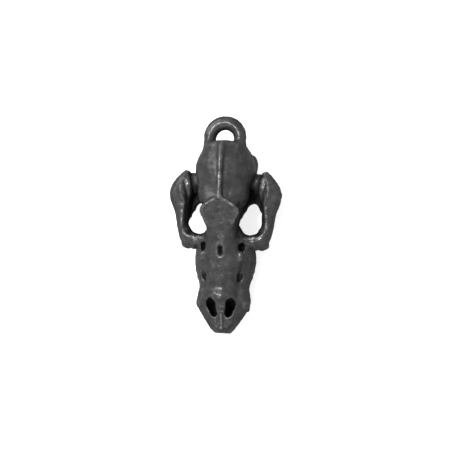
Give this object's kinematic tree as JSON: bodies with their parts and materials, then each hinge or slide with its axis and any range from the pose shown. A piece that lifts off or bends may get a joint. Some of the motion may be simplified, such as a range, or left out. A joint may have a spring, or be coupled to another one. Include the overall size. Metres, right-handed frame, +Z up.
{
  "type": "wolf skull charm",
  "caption": "Small cast pendant in the shape of a wolf's upper skull, with a thick hanging loop behind the occiput.",
  "frame": {"origin": "middle of the charm's length and width, on the surface that its canine tips and ear bullae rest on", "axes": "+Y from the tip of the snout back to the hanging loop, +Z up through the top of the skull, X across it"},
  "size_m": [0.0162, 0.03, 0.0106],
  "materials": {
    "dark_cast_metal": "blackened cast metal, satin, with a fine grain and small bright glints on the high places"
  },
  "bodies": {
    "root": {"face": "dark_cast_metal", "braincase": "dark_cast_metal", "cheek_arch_right": "dark_cast_metal", "cheek_arch_left": "dark_cast_metal", "hanging_loop": "dark_cast_metal"}
  },
  "joints": []
}
